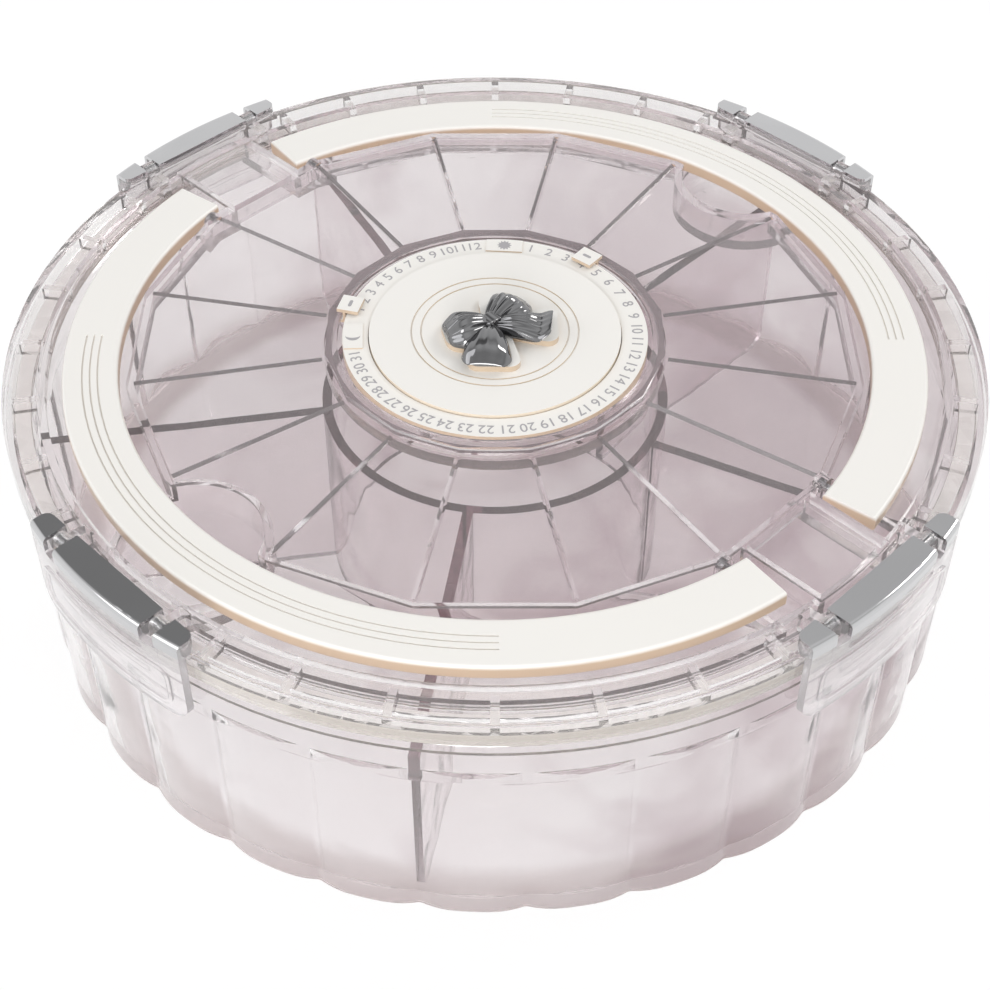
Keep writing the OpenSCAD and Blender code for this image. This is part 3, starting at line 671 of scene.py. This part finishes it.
def wrapped_knot():
    """The bow's knot: a rounded block with a band drawn in round its middle."""
    deselect()
    bpy.ops.mesh.primitive_cube_add(size=1.0)
    obj = bpy.context.object
    obj.scale = KNOT_SIZE
    bpy.ops.object.transform_apply(location=True, rotation=True, scale=True)
    bpy.ops.object.mode_set(mode="EDIT")
    bpy.ops.mesh.subdivide(number_cuts=5)
    mesh = bmesh.from_edit_mesh(obj.data)
    for side in (-1, 1):
        choose(mesh, lambda vert: abs(vert.co.x - side * KNOT_GROOVE * MM) < GROOVE_WIDTH / 2 * MM)
        draw_in(KNOT_GROOVE_DRAW)
        choose(mesh, lambda vert: vert.co.x * side > KNOT_END * MM)
        draw_in(KNOT_END_DRAW)
    bpy.ops.object.mode_set(mode="OBJECT")
    soften(obj)
    obj.location = (0, 0, KNOT_SIZE.z / 2)
    bpy.ops.object.transform_apply(location=True, rotation=True, scale=True)
    return obj


def turn_lobe(obj, angle):
    """Puts a lobe at the knot, pointing at an angle from +X."""
    obj.rotation_euler = (0, 0, math.radians(angle))
    obj.location = KNOT
    pick(obj)
    bpy.ops.object.transform_apply(location=True, rotation=True, scale=True)
    return obj


def copy_lobe(obj):
    """A second lobe with a mesh of its own."""
    twin = obj.copy()
    twin.data = obj.data.copy()
    scene.collection.objects.link(twin)
    return twin


left_loop = ribbon_lobe(LOOP, pleats=6, pleat_height=0.55)
right_loop = copy_lobe(left_loop)
front_tail = ribbon_lobe(FRONT_TAIL, pleats=5, pleat_height=0.22)
side_tail = ribbon_lobe(SIDE_TAIL, pleats=5, pleat_height=0.5)
lobes = [turn_lobe(left_loop, 200), turn_lobe(right_loop, 52), turn_lobe(front_tail, -95),
         turn_lobe(side_tail, -5), turn_lobe(wrapped_knot(), 40)]
ribbon_bow = join_pieces(lobes, "ribbon_bow", BOW_CHROME, "lid")
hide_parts("bow")

# ---------------------------------------------------------------- stage, light and camera

FLOOR_DROP = 0.0002
FLOOR_WHITE = (0.92, 0.92, 0.92)
# How much of the floor glows white, where it is seen directly and through the plastic, and how bright
FLOOR_SEEN = 0.85
FLOOR_THROUGH = 0.4
FLOOR_GLOW = 1.04
WORLD_WHITE = (1.0, 0.995, 0.985)
WORLD_LIGHT = 0.62
# Grey of the surroundings by height, from below to above, as metal and plastic mirror them
SKY = ((0.0, 1.0), (0.20, 1.0), (0.5, 0.95), (0.56, 0.88), (0.72, 0.59), (0.85, 0.75), (1.0, 1.0))
# A dark screen at the back left, which the front left trims mirror
SCREEN_AT = (-0.30, 0.55, 0.78)
SCREEN_EDGES = (0.935, 0.985)
SCREEN_SHADE = 0.42
# The point that the lights look at
AIM = Vector((0, 0, 0.03))
# The camera's place, and the angle by which it looks down
CAMERA_AT = (0.0, -0.2194, 0.2297)
CAMERA_DOWN = 44.89
CAMERA_LENS, CAMERA_SENSOR = 67.3, 36.0


def add_direct(tree, path):
    """1 where a ray comes from the camera or from a mirroring face."""
    return add_join(tree, "MAXIMUM", path["Is Camera Ray"], path["Is Glossy Ray"])


def make_floor():
    """A pale floor that keeps the object's shadow and is otherwise seen as white."""
    deselect()
    bpy.ops.mesh.primitive_plane_add(size=6.0, location=(0, 0, -FLOOR_DROP))
    floor = bpy.context.object
    floor.name = "studio_floor"
    mat, tree, shader = new_material("pale_floor")
    set_sockets(shader, {"Base Color": opaque(FLOOR_WHITE), "Roughness": 0.9, "Specular IOR Level": 0.0})
    glow = tree.nodes.new("ShaderNodeEmission")
    glow.inputs["Strength"].default_value = FLOOR_GLOW
    path = tree.nodes.new("ShaderNodeLightPath").outputs
    seen = tree.nodes.new("ShaderNodeMath")
    seen.operation = "MULTIPLY"
    seen.inputs[1].default_value = FLOOR_SEEN
    tree.links.new(add_direct(tree, path), seen.inputs[0])
    share = tree.nodes.new("ShaderNodeMix")
    share.inputs["B"].default_value = FLOOR_THROUGH
    tree.links.new(path["Is Transmission Ray"], share.inputs["Factor"])
    tree.links.new(seen.outputs[0], share.inputs["A"])
    surface = find_input(tree, "OUTPUT_MATERIAL", "Surface")
    tree.links.new(mix_shaders(tree, share.outputs["Result"], shader, glow), surface)
    floor.data.materials.append(mat)


def make_world():
    """An even light, and greys that are seen directly, in metal and through the plastic."""
    world = bpy.data.worlds.new("studio")
    scene.world = world
    world.use_nodes = True
    tree = world.node_tree
    tree.nodes.clear()
    out = tree.nodes.new("ShaderNodeOutputWorld")
    light = tree.nodes.new("ShaderNodeBackground")
    set_sockets(light, {"Color": opaque(WORLD_WHITE), "Strength": WORLD_LIGHT})
    around = tree.nodes.new("ShaderNodeTexCoord").outputs["Generated"]
    ramp = tree.nodes.new("ShaderNodeValToRGB")
    ramp.color_ramp.interpolation = "EASE"
    stops = ramp.color_ramp.elements
    for k, (position, shade) in enumerate(SKY):
        stop = stops[k] if k < len(stops) else stops.new(position)
        stop.position = position
        stop.color = opaque((shade, shade, shade))
    tree.links.new(split_axes(tree, around)["Z"], ramp.inputs["Fac"])
    screen = add_span(tree, add_dot(tree, around, SCREEN_AT), *SCREEN_EDGES, soft=True)
    set_sockets(screen, {"To Min": 1.0, "To Max": SCREEN_SHADE})
    seen = tree.nodes.new("ShaderNodeBackground")
    tree.links.new(ramp.outputs["Color"], seen.inputs["Color"])
    tree.links.new(screen.outputs["Result"], seen.inputs["Strength"])
    path = tree.nodes.new("ShaderNodeLightPath").outputs
    mask = add_join(tree, "MAXIMUM", add_direct(tree, path), path["Is Transmission Ray"])
    tree.links.new(mix_shaders(tree, mask, light, seen), out.inputs["Surface"])


def add_softbox(name, place, size, power, color):
    data = bpy.data.lights.new(name, "AREA")
    data.shape = "DISK"
    data.size = size
    data.energy = power
    data.color = color
    lamp = bpy.data.objects.new(name, data)
    scene.collection.objects.link(lamp)
    lamp.location = place
    lamp.rotation_euler = (AIM - Vector(place)).to_track_quat("-Z", "Y").to_euler()


make_floor()
make_world()
add_softbox("key_softbox", (0.75, 0.40, 0.80), size=0.4, power=2.8, color=(1.0, 0.98, 0.95))
add_softbox("fill_softbox", (-0.7, -0.3, 0.6), size=0.6, power=1.5, color=(0.98, 0.98, 1.0))
add_softbox("front_softbox", (-0.1, -0.85, 0.28), size=0.5, power=4.0, color=(1.0, 0.99, 0.98))

camera_data = bpy.data.cameras.new("photo_camera")
camera_data.lens = CAMERA_LENS
camera_data.sensor_width = CAMERA_SENSOR
camera = bpy.data.objects.new("photo_camera", camera_data)
scene.collection.objects.link(camera)
camera.location = CAMERA_AT
camera.rotation_euler = (math.radians(90 - CAMERA_DOWN), 0.0, 0.0)
scene.camera = camera

scene.view_settings.view_transform = "Standard"
scene.cycles.max_bounces = 28
scene.cycles.transmission_bounces = 24
scene.cycles.glossy_bounces = 6
scene.cycles.transparent_max_bounces = 24
